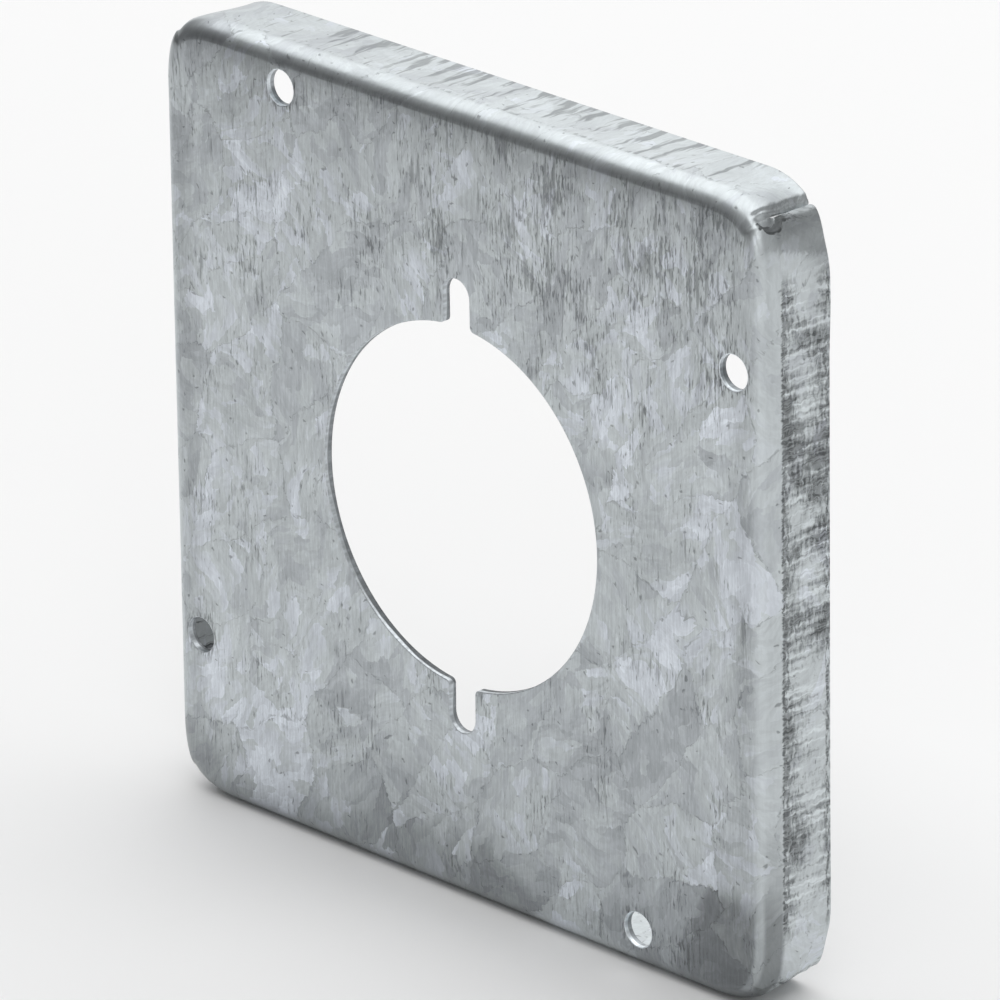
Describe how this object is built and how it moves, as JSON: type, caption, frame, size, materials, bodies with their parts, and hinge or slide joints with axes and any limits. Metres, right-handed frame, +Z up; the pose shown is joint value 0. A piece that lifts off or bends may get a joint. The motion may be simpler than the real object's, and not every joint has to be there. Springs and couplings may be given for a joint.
{
  "type": "raised outlet cover",
  "caption": "Square pressed steel box cover with turned-back walls, a round receptacle opening with two screw slots, and pinwheel screw holes.",
  "frame": {"origin": "centre of the screw circle and of the receptacle opening, on the plane of the front face", "axes": "+Z up as it stands on a wall, -Y out of the front face into the room, +Y into the box, +X to the right seen from the front"},
  "size_m": [0.119, 0.0127, 0.119],
  "materials": {
    "galvanised_steel": "hot-dip galvanised sheet: satin zinc with a large spangle and dark rolling and forming scratches"
  },
  "bodies": {
    "root": {"raised_cover": "galvanised_steel"}
  },
  "joints": []
}
